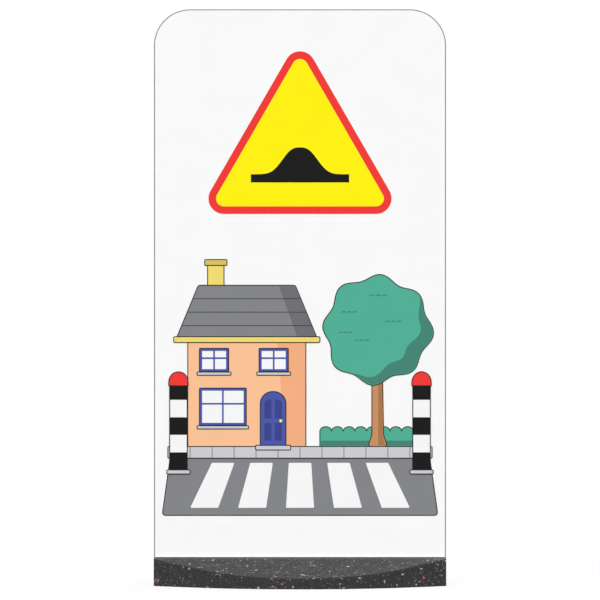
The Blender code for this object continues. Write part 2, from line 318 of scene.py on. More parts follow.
# %% [markdown]
# From arrays to faces.
# A surface that is sampled on rows and columns has one four-sided face for each cell of its grid. They
# could be added one by one in a loop, but the whole list is index arithmetic on arrays. A grid can close
# on itself along its rows, its columns or both, like a ring or a tube.

# %% the faces of a grid


def grid_faces(rows, columns, close_rows=False, close_columns=False, start=0):
    """Quads of a grid whose point (r, c) has the number start + r * columns + c. Each quad goes
    (r, c), (r, c + 1), (r + 1, c + 1), (r + 1, c), and the next row or column wraps round where closed."""
    r = np.arange(rows if close_rows else rows - 1)[:, None]
    c = np.arange(columns if close_columns else columns - 1)[None, :]
    r_next = (r + 1) % rows
    c_next = (c + 1) % columns
    quads = [r * columns + c, r * columns + c_next, r_next * columns + c_next, r_next * columns + c]
    return start + np.stack(np.broadcast_arrays(*quads), axis=-1).reshape(-1, 4)


print("a 3 by 4 grid has", len(grid_faces(3, 4)), "faces, and", len(grid_faces(3, 4, True, True)), "closed")

# %% [markdown]
# One skin.
# The real block is one piece, so its skin has no seams either. Four meshes could be joined and their
# doubles merged, but points that are shared from the start can't miss each other. All points go into one
# list, and the relief is pressed into it in one go. The top's faces need the numbers of their corners, and
# along the rim those are the numbers of the band's last row.

# %% the skin as one list of points and faces
count = len(outline)
rows = np.concatenate([under[::-1], band]).reshape(-1, 3)
row_normals = np.concatenate([np.broadcast_to([0.0, 0.0, -1.0], under.shape), band_normal]).reshape(-1, 3)
row_edges = np.concatenate([np.zeros(under.shape[:2]), band_edge]).ravel()
inside = top[1:-1, 1:-1].reshape(-1, 3)
inside_normals = top_normal[1:-1, 1:-1].reshape(-1, 3)
skin = np.concatenate([rows, inside, [[0.0, 0.0, 0.0]]])
skin_normals = np.concatenate([row_normals, inside_normals, [[0.0, 0.0, -1.0]]])
skin_edges = np.concatenate([row_edges, np.zeros(len(inside) + 1)])
skin = skin - skin_normals * pressed_in(skin, skin_edges)[:, None]

number = np.zeros(plan.shape[:2], int)
rim_numbers = len(rows) - count + np.arange(count)
number[0], number[:, -1], number[-1], number[:, 0] = four_sides(rim_numbers)
number[1:-1, 1:-1] = len(rows) + np.arange(len(inside)).reshape(ACROSS - 1, ALONG - 1)
side_quads = grid_faces(len(rows) // count, count, close_columns=True)
top_quads = np.stack([number[:-1, :-1], number[:-1, 1:], number[1:, 1:], number[1:, :-1]], axis=2)
first_ring = np.arange(count)
fan = np.stack([np.full(count, len(skin) - 1), (first_ring + 1) % count, first_ring], axis=1)
skin_faces = side_quads.tolist() + top_quads.reshape(-1, 4).tolist() + fan.tolist()
print("points in the skin:", len(skin), "faces:", len(skin_faces))

# %% [markdown]
# How a finish is built.
# A finish on a real part is a stack of causes: what it is made of, how it was made and how it has been
# used. In a node tree each cause is a noise or a cell pattern, and the shader at the end turns them into
# colour, gloss and relief. The tree could be drawn by hand in the editor. Written as calls that take
# sockets and give sockets, it reads like a formula, one line for each step. The rubber's finish is started
# here.

# %% start a finish and add nodes to it


def new_finish(name):
    """A material with an empty Principled shader, and the Object coordinates to hang patterns on."""
    finish = bpy.data.materials.new(name)
    finish.use_nodes = True
    tree = finish.node_tree
    place = tree.nodes.new("ShaderNodeTexCoord").outputs["Object"]
    return finish, tree, tree.nodes["Principled BSDF"], place


def feed(tree, socket, value):
    """Links an output to a socket, or sets the socket to a plain value."""
    if isinstance(value, bpy.types.NodeSocket):
        tree.links.new(value, socket)
    else:
        socket.default_value = value


def add_node(tree, kind, feeds, out=0, **settings):
    """Adds a node. feeds maps a socket's name or number to what feeds it, and settings are properties."""
    made = tree.nodes.new(kind)
    for key, value in settings.items():
        setattr(made, key, value)
    for key, value in feeds.items():
        feed(tree, made.inputs[key], value)
    return made.outputs[out]


rubber, tree, shader, place = new_finish("recycled_rubber_crumb")
print("a new finish has the nodes", [node.name for node in tree.nodes])

# %% [markdown]
# Crumbs as cells.
# Recycled rubber is black crumb from tyres with a few per cent of coloured crumb, pressed hot with a
# binder. A noise alone would give clouds, but crumbs have borders. Each crumb is one cell of a cell
# texture, with a random number per cell and the distance to the cell's edge. The place is moved about a
# little first, so that the cells have crooked sides instead of ruled ones. Object coordinates are in
# metres here, so all patterns can be asked for by their real size.

# %% crumbs of two sizes
CHIP_SIZE = 3.9 * MM
GRIT_SIZE = 2.0 * MM
WANDER_SIZE = 6 * MM
WANDER = 4.5 * MM


def noise(tree, place, grain, detail=3.0, roughness=0.5, out="Fac"):
    """Noise whose lumps are about grain metres across."""
    feeds = {"Vector": place, "Scale": 1.0 / grain, "Detail": detail, "Roughness": roughness}
    return add_node(tree, "ShaderNodeTexNoise", feeds, out)


def crumbs(tree, place, size, shift):
    """Three random numbers per crumb, and the distance to the crumb's edge in cells."""
    moved = add_node(tree, "ShaderNodeVectorMath", {0: place, 1: (shift, shift, shift)}, operation="ADD")
    feeds = {"Vector": moved, "Scale": 1.0 / size, "Randomness": 1.0}
    chance = add_node(tree, "ShaderNodeTexVoronoi", feeds, "Color")
    edge = add_node(tree, "ShaderNodeTexVoronoi", feeds, "Distance", feature="DISTANCE_TO_EDGE")
    parts = tree.nodes.new("ShaderNodeSeparateColor")
    tree.links.new(chance, parts.inputs[0])
    return parts.outputs, edge


wander = noise(tree, place, WANDER_SIZE, 2.0, out="Color")
wander = add_node(tree, "ShaderNodeVectorMath", {0: wander, 1: (0.5, 0.5, 0.5)}, operation="SUBTRACT")
wander = add_node(tree, "ShaderNodeVectorMath", {0: wander, "Scale": WANDER}, operation="SCALE")
crooked = add_node(tree, "ShaderNodeVectorMath", {0: place, 1: wander}, operation="ADD")
chip, chip_edge = crumbs(tree, crooked, CHIP_SIZE, 0.0)
grit, grit_edge = crumbs(tree, crooked, GRIT_SIZE, 0.3)
print("crumb sizes in mm:", CHIP_SIZE / MM, GRIT_SIZE / MM)

# %% [markdown]
# Which crumbs are coloured.
# Only about one chip in fifty is coloured, and in the real block they crowd in some places and miss
# others. An even share would look machine made. So a slow noise, rescaled to a narrow range, sets the
# limit that a cell's first random number has to pass, and the answer is 1 or 0. A chip is also kept off
# its cell's edge, so that black shows all round it.

# %% choose the coloured crumbs


def maths(tree, operation, first, second=0.0, third=0.0):
    """One Math node."""
    return add_node(tree, "ShaderNodeMath", {0: first, 1: second, 2: third}, operation=operation)


def spread_to(tree, value, low, high, new_low, new_high):
    """Rescales value from low..high to new_low..new_high in a straight line, and clamps it there."""
    feeds = {"Value": value, "From Min": low, "From Max": high, "To Min": new_low, "To Max": new_high}
    return add_node(tree, "ShaderNodeMapRange", feeds)


CROWDING_SIZE = 38 * MM
CHIP_LIMITS = (0.996, 0.968)
GRIT_LIMITS = (0.99, 0.93)
CHIP_MARGIN = 0.1
crowding = noise(tree, place, CROWDING_SIZE, 2.0)
chip_limit = spread_to(tree, crowding, 0.35, 0.65, *CHIP_LIMITS)
grit_limit = spread_to(tree, crowding, 0.35, 0.65, *GRIT_LIMITS)
is_chip = maths(tree, "GREATER_THAN", chip[0], chip_limit)
is_chip = maths(tree, "MULTIPLY", is_chip, maths(tree, "GREATER_THAN", chip_edge, CHIP_MARGIN))
is_grit = maths(tree, "GREATER_THAN", grit[0], grit_limit)
print("coloured in per cent: chips", round(100 - 50 * sum(CHIP_LIMITS), 1), end=", ")
print("grit", round(100 - 50 * sum(GRIT_LIMITS), 1))

# %% [markdown]
# Colours.
# The numbers of a screen colour aren't in proportion to light: half the number is about a fifth of the
# light. Shaders work in linear light, so a colour that was judged on a screen is converted once, by
# formula. Two more helpers mix two colours by a share, and pick one of a few colours by a random number.

# %% convert, mix and pick colours


def screen_colour(red, green, blue):
    """The linear colour of a screen colour in steps of 0 to 255: a share s above 0.04045 becomes
    ((s + 0.055) / 1.055) to the power 2.4, and a smaller one s / 12.92."""
    share = np.array([red, green, blue]) / 255.0
    linear = np.where(share > 0.04045, ((share + 0.055) / 1.055) ** 2.4, share / 12.92)
    return (*[float(v) for v in linear], 1.0)


def blend_colours(tree, share, first, second, mode="MIX"):
    """Mixes two colours: first where share is 0, second where it is 1."""
    made = tree.nodes.new("ShaderNodeMix")
    made.data_type = "RGBA"
    made.blend_type = mode
    for socket, value in ((0, share), (6, first), (7, second)):
        feed(tree, made.inputs[socket], value)
    return made.outputs[2]


def steps_of_colour(tree, value, stops):
    """A ramp without blending: each stop holds its colour until the next one's position."""
    made = tree.nodes.new("ShaderNodeValToRGB")
    made.color_ramp.interpolation = "CONSTANT"
    while len(made.color_ramp.elements) < len(stops):
        made.color_ramp.elements.new(1.0)
    for element, (position, *colour) in zip(made.color_ramp.elements, stops):
        element.position = position
        element.color = screen_colour(*colour)
    tree.links.new(value, made.inputs[0])
    return made.outputs[0]


print("screen grey 128 is", round(screen_colour(128, 128, 128)[0], 3), "in linear light")

# %% [markdown]
# The colours of the crumb.
# The coarse pattern gives the chips that are seen from across a street, and the fine one the dust between
# them. Two smooth colours mixed by a noise would look like marble, so each coloured cell takes one of a
# few plain colours by its second random number, as mixed scrap does. Another number says how black the
# black ones are, and the gaps between the cells, where pits would hold shadow, are darkened as painted
# shade.

# %% colour of the rubber
CHIP_COLOURS = [
    (0.0, 154, 162, 170),
    (0.24, 196, 184, 160),
    (0.46, 196, 98, 70),
    (0.57, 186, 134, 96),
    (0.67, 206, 194, 96),
    (0.75, 198, 116, 126),
    (0.82, 116, 162, 186),
    (0.89, 120, 122, 106),
]
GRIT_COLOURS = [
    (0.0, 106, 112, 119),
    (0.4, 134, 126, 114),
    (0.6, 132, 82, 68),
    (0.72, 92, 114, 130),
    (0.82, 112, 126, 110),
    (0.88, 146, 140, 104),
    (0.94, 162, 168, 174),
]
DARK_CRUMB = (0.0181, 0.0180, 0.0200, 1)
WORN_CRUMB = (0.0411, 0.0409, 0.0446, 1)
colour = blend_colours(tree, grit[2], DARK_CRUMB, WORN_CRUMB)
colour = blend_colours(tree, is_grit, colour, steps_of_colour(tree, grit[1], GRIT_COLOURS))
colour = blend_colours(tree, is_chip, colour, steps_of_colour(tree, chip[1], CHIP_COLOURS))
# Painted shade: the colour darkens towards the edge of each grit cell, for the shadow in the pits between
# crumbs.
painted_pit_shade = spread_to(tree, grit_edge, 0.0, 0.12, 0.72, 1.0)
painted_pit_shade_colour = add_node(tree, "ShaderNodeCombineColor", {0: painted_pit_shade, 1: painted_pit_shade, 2: painted_pit_shade})
colour = blend_colours(tree, 1.0, colour, painted_pit_shade_colour, "MULTIPLY")
tree.links.new(colour, shader.inputs["Base Color"])
print("chip colours:", len(CHIP_COLOURS), "grit colours:", len(GRIT_COLOURS))

# %% [markdown]
# The touch of the rubber.
# Cut crumb is dull, and the hot press leaves it a little smoother in patches. The mesh has the coarse
# relief already, and finer points would cost too many faces, so the rest is bump: the domes of the chips,
# the domes of the grit and a fine tooth on both, each laid over the one before. A depth in metres keeps it
# right however close the camera comes.

# %% gloss and relief of the rubber


def relief(tree, height, depth, normal=None):
    """Bump whose height of 1 stands depth metres high, on top of an earlier relief if there is one."""
    feeds = {"Height": height, "Distance": depth, "Strength": 1.0}
    if normal is not None:
        feeds["Normal"] = normal
    return add_node(tree, "ShaderNodeBump", feeds)


PRESS_SIZE = 9 * MM
TOOTH_SIZE = 0.7 * MM
CHIP_DOME = 0.10 * MM
GRIT_DOME = 0.07 * MM
TOOTH_DEPTH = 0.05 * MM
worn = spread_to(tree, noise(tree, place, PRESS_SIZE), 0.3, 0.7, 0.62, 0.80)
tree.links.new(worn, shader.inputs["Roughness"])
shader.inputs["Specular IOR Level"].default_value = 0.25
chip_dome = spread_to(tree, chip_edge, 0.0, 0.16, 0.0, 1.0)
grit_dome = spread_to(tree, grit_edge, 0.0, 0.2, 0.0, 1.0)
bumps = relief(tree, chip_dome, CHIP_DOME)
bumps = relief(tree, grit_dome, GRIT_DOME, bumps)
bumps = relief(tree, noise(tree, place, TOOTH_SIZE, 2.0), TOOTH_DEPTH, bumps)
tree.links.new(bumps, shader.inputs["Normal"])
print("rubber finish has", len(tree.nodes), "nodes")

# %% [markdown]
# Pieces that belong to the sign.
# Each new shape becomes one object at the origin with its place in its points. A pattern on Object
# coordinates is then measured in the sign's own millimetres, and the piece moves with the body that it
# rides on. A closed shape that is inside out can look right at first, but its volume, summed over its
# faces, comes out below zero, so volumes are printed where shapes are made. The first piece is the whole
# rubber block.

# %% a mesh object from points and faces
import bmesh


def make_piece(name, points, faces, finish, body, smooth=True):
    """One mesh object at the origin with its place in its points. Faces may have any number of corners.
    It takes the given finish, and rides on a CAD body if one is given."""
    mesh = bpy.data.meshes.new(name)
    mesh.from_pydata(np.asarray(points, float).tolist(), [], faces)
    mesh.validate()
    mesh.polygons.foreach_set("use_smooth", np.full(len(mesh.polygons), smooth))
    mesh.materials.append(finish)
    piece = bpy.data.objects.new(name, mesh)
    bpy.context.scene.collection.objects.link(piece)
    if body:
        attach(piece, body)
    return piece


def volume_of(mesh):
    """Volume in cubic centimetres: the sum of the pyramids from the origin to each face. It is only above
    zero if the faces point outwards."""
    shape = bmesh.new()
    shape.from_mesh(mesh)
    volume = shape.calc_volume(signed=True) * 1e6
    shape.free()
    return round(volume, 2)


block = make_piece("rubber_block", skin, skin_faces, rubber, "base")
print("the block before it is cut:", volume_of(block.data), "cubic cm")

# %% [markdown]
# A tool for the slot.
# On the real moulding a bar in the mould leaves the slot that the panel's rail stands in. The slot could
# be woven into the grid, but a cut is closer to how the shape comes about. So the bar is made here too, as
# its cross-section carried from end to end. It is a little wider than the rail, and its mouth is spread,
# which lets the rail in.

# %% the bar for the slot
SLOT_SIDE = 0.3 * MM
SLOT_MOUTH = 2 * MM
PAST_BAR = 10 * MM
rail_low, rail_high = box_of("shoe_rail")
slot_half = float(rail_high[1]) + SLOT_SIDE
slot_floor = float(rail_low[2]) - SLOT_SIDE


def slot_bar():
    """The bar: its section at both ends, a band of quads between them and a face on each end."""
    mouth = slot_half + SLOT_MOUTH
    half = np.array([
        [slot_half, slot_floor],
        [slot_half, ridge_height - SLOT_MOUTH],
        [mouth, ridge_height],
        [mouth, ridge_height + PAST_BAR],
    ])
    section = np.concatenate([half, mirrored(half, (-1, 1))])
    n = len(section)
    bar = np.zeros((2, n, 3))
    bar[:, :, 0] = [[-half_width - PAST_BAR], [half_width + PAST_BAR]]
    bar[:, :, 1:] = section
    faces = grid_faces(2, n, close_columns=True).tolist()
    return bar.reshape(-1, 3), faces + [list(range(n - 1, -1, -1)), list(range(n, 2 * n))]


cutters = {"slot_bar": slot_bar()}
print("the slot in mm:", round(2 * slot_half / MM, 2), "wide, its floor at", round(slot_floor / MM, 2))

# %% [markdown]
# A tool for the screw pockets.
# Four stepped pins in the mould leave the holes for the screws, and below each a wide pocket for its head
# and washers. Cylinders could be stacked for that, but one profile turned round an upright axis has no
# seam between its steps.

# %% the pins for the screw pockets
POCKET_SIDE = 1 * MM
POCKET_LEAD = 0.8 * MM
POCKET_PLAY = 0.3 * MM
HOLE_RADIUS = 3.5 * MM
PAST_PIN = 5 * MM
PAST_HOLE = 4 * MM
TURN_STEPS = 64
washer_high = box_of("base_washer_1")[1]
pocket_radius = float(washer_high[1]) + POCKET_SIDE
pocket_top = float(washer_high[2]) + POCKET_PLAY
screw_xs = [float(sum(box_of(f"base_screw_{n}"))[0] / 2) for n in (1, 2, 3, 4)]


def pocket_pins():
    """The pins: each (radius, height) of the profile becomes the ring (radius cos, radius sin, height)."""
    profile = np.array([
        [pocket_radius + POCKET_LEAD, -PAST_PIN],
        [pocket_radius + POCKET_LEAD, 0.0],
        [pocket_radius, POCKET_LEAD],
        [pocket_radius, pocket_top],
        [HOLE_RADIUS, pocket_top],
        [HOLE_RADIUS, slot_floor + PAST_HOLE],
    ])
    turn = np.linspace(0, 2 * math.pi, TURN_STEPS, endpoint=False)
    radius, height = profile[:, :1], np.repeat(profile[:, 1:], TURN_STEPS, axis=1)
    pin = np.stack([radius * np.cos(turn), radius * np.sin(turn), height], axis=2).reshape(-1, 3)
    faces = []
    for start in range(0, len(screw_xs) * len(pin), len(pin)):
        faces += grid_faces(len(profile), TURN_STEPS, close_columns=True, start=start).tolist()
        faces += [list(range(start + TURN_STEPS - 1, start - 1, -1))]
        faces += [list(range(start + len(pin) - TURN_STEPS, start + len(pin)))]
    return np.concatenate([pin + [x, 0, 0] for x in screw_xs]), faces


cutters["pocket_pins"] = pocket_pins()
print("pockets in mm:", round(2 * pocket_radius / MM, 2), "wide, at", [round(x / MM, 1) for x in screw_xs])

# %% [markdown]
# Cutting the block.
# The tools are taken out of the skin with modifiers, which are applied at once, and the tools are thrown
# away. Live modifiers would look the same, but an applied cut leaves one plain mesh, whose faces can be
# counted.

# %% cut the slot and the pockets
for name, (points, faces) in cutters.items():
    cutter = make_piece(name, points, faces, rubber, None, smooth=False)
    print(name, "has", volume_of(cutter.data), "cubic cm")
    cut = block.modifiers.new(name, "BOOLEAN")
    cut.operation = "DIFFERENCE"
    cut.solver = "MANIFOLD"
    cut.object = cutter
ready = block.evaluated_get(bpy.context.evaluated_depsgraph_get())
cut_mesh = bpy.data.meshes.new_from_object(ready)
block.modifiers.clear()
block.data = cut_mesh
cut_mesh.name = "rubber_block"
for name in cutters:
    bpy.data.objects.remove(bpy.data.objects[name])

# %% [markdown]
# Splitting the faces along the cut.
# Where a tool crosses the crumb relief it leaves small faces with more than four corners, and some of
# those corners lie almost in a line. The faces could be left to whatever reads the mesh, but that may clip
# the same sliver off the faces on both sides of an edge, and the two then lie back to back as a flap. So
# they are split here, into triangles that are as well shaped as they can be. The slot's floor and the
# slopes of its mouth stay single flat faces with hundreds of corners. The shading is set after the split,
# and the plain CAD base is then hidden, so that the block is seen in its place. The shading is set after
# the split, and the block then stands in for the plain CAD base, which stays only for collision.

# %% split the faces along the cut
QUAD_CORNERS = 4
LONG_FACE_CORNERS = 100
CREASE_ANGLE = 38
shape = bmesh.new()
shape.from_mesh(cut_mesh)
cut_faces = [face for face in shape.faces if QUAD_CORNERS < len(face.verts) < LONG_FACE_CORNERS]
print("faces split along the cut:", len(cut_faces))
bmesh.ops.triangulate(shape, faces=cut_faces, ngon_method="BEAUTY")
shape.to_mesh(cut_mesh)
shape.free()
cut_mesh.polygons.foreach_set("use_smooth", np.full(len(cut_mesh.polygons), True))
cut_mesh.set_sharp_from_angle(angle=math.radians(CREASE_ANGLE))
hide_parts("rubber_base")
cut_mesh.calc_loop_triangles()
print("rubber block:", len(cut_mesh.loop_triangles), "triangles,", volume_of(cut_mesh), "cubic cm")

# %% [markdown]
# The sawn edge of the panel.
# The sheet is solid grey plastic, sawn to its outline, and the film that carries the print is trimmed just
# inside the cut, so a thin grey line frames the white. The CAD shape is right as it is and only needs its
# finish. A plain grey would do from afar, but a saw leaves fine marks across the thickness, so a noise is
# drawn out along Y. They are darker where the teeth scored the plastic, and paler and duller where they
# bruised it.

# %% finish of the sheet


def stretched(tree, place, x, y, z):
    """The place with each axis multiplied, so that a pattern is finer along an axis with a large number."""
    return add_node(tree, "ShaderNodeMapping", {"Vector": place, "Scale": (x, y, z)}, vector_type="POINT")


SAW_PITCH = 0.6 * MM
SAW_DEPTH = 0.12 * MM
core, tree, shader, place = new_finish("grey_core_plastic")
saw = noise(tree, stretched(tree, place, 1.0, 0.15, 1.0), SAW_PITCH, 3.0)
cloud = noise(tree, place, 14 * MM, 3.0)
core_colour = blend_colours(tree, cloud, screen_colour(106, 106, 108), screen_colour(116, 116, 118))
scored = spread_to(tree, saw, 0.32, 0.48, 0.5, 0.0)
core_colour = blend_colours(tree, scored, core_colour, screen_colour(88, 88, 90))
bruise = spread_to(tree, saw, 0.54, 0.68, 0.0, 0.7)
core_colour = blend_colours(tree, bruise, core_colour, screen_colour(146, 146, 148))
tree.links.new(core_colour, shader.inputs["Base Color"])
tree.links.new(spread_to(tree, saw, 0.3, 0.7, 0.5, 0.72), shader.inputs["Roughness"])
tree.links.new(relief(tree, saw, SAW_DEPTH), shader.inputs["Normal"])
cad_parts["panel_sheet"].material_slots[0].material = core
print("sheet finish has", len(tree.nodes), "nodes")

# %% [markdown]
# Printed film.
# The film is satin under a clear laminate: even, with the faint orange peel of its glue, and no two
# patches that shine quite alike. Every colour of the print lies under the same laminate, so one recipe
# takes a colour and gives its finish, where 19 materials could be made by hand. The colour drifts by one
# or two per cent, as a print does.

# %% finish of the film
WHITE = (0.945, 0.945, 0.945, 1.0)
DRIFT_SIZE = 60 * MM
RUB_SIZE = 22 * MM
PEEL_SIZE = 1.6 * MM
PEEL_DEPTH = 0.006 * MM
SLACK_SIZE = 30 * MM
SLACK_DEPTH = 0.05 * MM


def print_finish(name, colour):
    """Satin laminate over a printed colour, which drifts slowly between the colour and 98.5 per cent of it.
    The gloss changes in upright streaks, where cloths have wiped, and the relief is peel and slow waves."""
    finish, tree, shader, place = new_finish(name)
    drift = spread_to(tree, noise(tree, place, DRIFT_SIZE, 4.0), 0.35, 0.65, 0.0, 1.0)
    faded = tuple(v * 0.985 for v in colour[:3]) + (1.0,)
    tree.links.new(blend_colours(tree, drift, faded, colour), shader.inputs["Base Color"])
    rub = noise(tree, stretched(tree, place, 1.0, 1.0, 0.35), RUB_SIZE, 4.0, 0.6)
    tree.links.new(spread_to(tree, rub, 0.3, 0.7, 0.30, 0.42), shader.inputs["Roughness"])
    shader.inputs["Specular IOR Level"].default_value = 0.15
    peel = relief(tree, noise(tree, place, PEEL_SIZE, 2.0), PEEL_DEPTH)
    peel = relief(tree, noise(tree, place, SLACK_SIZE, 1.0), SLACK_DEPTH, peel)
    tree.links.new(peel, shader.inputs["Normal"])
    return finish


white_film = print_finish("white_print_film", WHITE)
for node in ("front_print_film", "rear_print_film"):
    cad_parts[node].material_slots[0].material = white_film
print("film finish has", len(white_film.node_tree.nodes), "nodes")

# %% [markdown]
# How the print is drawn.
# A print could be a picture file, but a picture has a fixed sharpness. Sign makers also cut each colour
# from its own film and lay the pieces over each other, and that is what happens here: each shape is a thin
# closed plate on the white film. Shapes are given in millimetres, x to the right and z up, as the reader
# sees the front. Each has a level, which says how many films of 0.05 mm its face stands above the white.
# Shapes that cross never share a level, because two faces in one plane would flicker.

# %% flat plates
INK_SUNK = 0.05 * MM
INK_STEP = 0.05 * MM
face_y = float(-box_of("front_print_film")[0][1])
ink_parts = {}


def lay(colour, loops, faces, level):
    """Adds points (x, z, share) in mm to a colour. Share 0 is sunk in the film, and 1 is the ink's face,
    which stands level steps of 0.05 mm off the film."""
    y = -np.where(loops[:, 2] > 0.5, face_y + level * INK_STEP, face_y - INK_SUNK)
    points = np.stack([loops[:, 0] * MM, y, loops[:, 1] * MM], axis=1)
    parts = ink_parts.setdefault(colour, [])
    start = sum(len(done) for done, _ in parts)
    parts.append((points, [[start + int(i) for i in face] for face in faces]))


def plate(colour, loop, level):
    """A flat shape: its outline at the film and again at its face, a band of quads between them and one
    many-sided face at each end. An outline that runs clockwise has an area below zero, and is turned
    round."""
    loop = np.asarray(loop, float)
    if np.sum(loop[:, 0] * np.roll(loop[:, 1], -1) - np.roll(loop[:, 0], -1) * loop[:, 1]) < 0:
        loop = loop[::-1]
    n = len(loop)
    both = np.concatenate([np.c_[loop, np.zeros(n)], np.c_[loop, np.ones(n)]])
    faces = grid_faces(2, n, close_columns=True).tolist()
    lay(colour, both, faces + [list(range(n - 1, -1, -1)), list(range(n, 2 * n))], level)


print("the film's face is at y =", round(-face_y / MM, 2), "mm")

# %% [markdown]
# Lines.
# A dark line round a shape is a narrow strip of film of constant width. A curve with a bevel could draw
# it, but its corners would pinch. Here a small rectangle is carried along the path, and at a corner each
# point moves out along the mitre, which is longer than half the width by just as much as the corner is
# sharp.

# %% ribbons of ink
LINE = 1.7


def ribbon(colour, path, level, width=LINE, closed=True):
    """A line of constant width: each point of the path moves half the width along the mitre, which is the
    sum of its two edge normals divided by one plus their cosine."""
    path = np.asarray(path, float)
    ahead = np.roll(path, -1, axis=0) - path
    ahead /= np.maximum(np.linalg.norm(ahead, axis=1, keepdims=True), 1e-9)
    behind = np.roll(ahead, 1, axis=0)
    if not closed:
        ahead[-1] = ahead[-2]
        behind[0] = ahead[0]
    normal = np.stack([ahead[:, 1], -ahead[:, 0]], axis=1)
    before = np.stack([behind[:, 1], -behind[:, 0]], axis=1)
    mitre = (normal + before) / np.maximum(1 + np.sum(normal * before, axis=1, keepdims=True), 0.25)
    right = path + mitre * width / 2
    left = path - mitre * width / 2
    n = len(path)
    edges = [(left, 0.0), (right, 0.0), (right, 1.0), (left, 1.0)]
    points = np.concatenate([np.c_[side, np.full(n, share)] for side, share in edges])
    faces = grid_faces(4, n, close_rows=True, close_columns=closed).tolist()
    if not closed:
        faces += [[0, n, 2 * n, 3 * n], [4 * n - 1, 3 * n - 1, 2 * n - 1, n - 1]]
    lay(colour, points, faces, level)


print("dark lines are", LINE, "mm wide")

# %% [markdown]
# Rounded outlines.
# A knife that cuts film can't turn on the spot, so every corner has a small radius. The shapes below give
# only their true corners, and the roundings are worked out from them. They could be drawn as curves with
# handles, but a formula keeps the corner's radius a plain number that can be changed.

# %% outlines with rounded corners


def rounded(corners, radius=1.5, steps=6):
    """Outline through the corners, each rounded by an arc: its centre lies on the bisector, radius over the
    sine of half the angle away, and the arc turns evenly from one tangent point to the other."""
    corners = np.asarray(corners, float)
    back_way = np.roll(corners, 1, axis=0) - corners
    on_way = np.roll(corners, -1, axis=0) - corners
    back_way /= np.linalg.norm(back_way, axis=1, keepdims=True)
    on_way /= np.linalg.norm(on_way, axis=1, keepdims=True)
    half = np.arccos(np.clip(np.sum(back_way * on_way, axis=1, keepdims=True), -1, 1)) / 2
    radius = np.broadcast_to(np.asarray(radius, float).reshape(-1, 1), half.shape)
    middle = back_way + on_way
    middle /= np.maximum(np.linalg.norm(middle, axis=1, keepdims=True), 1e-9)
    centre = corners + middle * radius / np.sin(half)
    first = corners + back_way * radius / np.tan(half) - centre
    last = corners + on_way * radius / np.tan(half) - centre
    turn = np.maximum(math.pi - 2 * half, 1e-6)[:, None]
    t = np.linspace(0, 1, steps + 1)[None, :, None]
    sweep = (np.sin((1 - t) * turn) * first[:, None] + np.sin(t * turn) * last[:, None]) / np.sin(turn)
    return (centre[:, None] + sweep).reshape(-1, 2)


diamond = rounded([(0, -10), (10, 0), (0, 10), (-10, 0)])
print("a rounded diamond of 20 mm is", round(float(np.ptp(diamond[:, 0])), 1), "mm wide")

# %% [markdown]
# Shapes that come back.
# Most things in a street scene are an upright box or a shape that narrows between two level sides, and
# most have a dark line round them. They could be listed point by point, but with these three a line of
# code says what a thing is, and one change reaches them all.

# %% boxes, tapered shapes and shapes with a line


def tapered(foot, top, radius=1.5):
    """A shape between two level sides, each given as (height, left, right), with its corners rounded."""
    (low, low_left, low_right), (high, high_left, high_right) = foot, top
    return rounded([(low_left, low), (low_right, low), (high_right, high), (high_left, high)], radius)


def box_loop(left, low, right, high, radius=1.5, steps=6):
    """The four corners of an upright rectangle, rounded."""
    return rounded([(left, low), (right, low), (right, high), (left, high)], radius, steps)


def drawn(colour, loop, level):
    """A filled shape with a dark line round it, one level higher."""
    plate(colour, loop, level)
    ribbon("outline", loop, level + 1)


print("a rounded box has", len(box_loop(0, 0, 10, 10)), "points")

# %% [markdown]
# The design, and its warning triangle.
# Such signs carry a large warning shape and a friendly street scene in flat colours with thin dark lines,
# and this one is a plain example of the kind. Its upper half is a yellow warning triangle with a red
# border and the outline of a road hump. A plain bell curve would read as a hill, so the hump's curve has
# steeper shoulders. The triangle is given by its outer size, and the border's path is half its width
# further in.

# %% draw the warning triangle
HALF_SIDE = 176.0
TRIANGLE_FOOT = 634.0
TRIANGLE_ROUND = 20.0
BORDER = 13.0
HUMP_HALF = 84.0
HUMP_FOOT = 688.0
ROAD_LINE = 702.0
HUMP_RISE = 46.0
HUMP_SPREAD = 36.0
HUMP_SHOULDER = 1.35
tall = HALF_SIDE * math.sqrt(3)
triangle = np.array([
    (-HALF_SIDE, TRIANGLE_FOOT),
    (HALF_SIDE, TRIANGLE_FOOT),
    (0.0, TRIANGLE_FOOT + tall),
])
middle = triangle.mean(axis=0)
inset = 1 - (BORDER / 2) / (tall / 3)
ring_path = rounded(middle + (triangle - middle) * inset, TRIANGLE_ROUND, 14)
plate("yellow", ring_path, 1)
ribbon("red", ring_path, 2, width=BORDER)
hump_x = np.linspace(HUMP_HALF, -HUMP_HALF, 61)
hump_top = ROAD_LINE + HUMP_RISE * np.exp(-((hump_x / HUMP_SPREAD) ** 2) ** HUMP_SHOULDER)
hump = np.concatenate([[[-HUMP_HALF, HUMP_FOOT], [HUMP_HALF, HUMP_FOOT]], np.c_[hump_x, hump_top]])
plate("black", hump, 3)
print("the triangle is", round(tall, 1), "mm tall, less its rounded corners")

# %% [markdown]
# The house: walls and roof.
# The lower half of the design is a house, a tree, a zebra crossing and two banded bollards. Its items
# share a ground line, and the house is given by its walls, its eaves and its ridge. It could be drawn in
# perspective, but a shade of each colour along the right side is all the depth that a flat print needs.

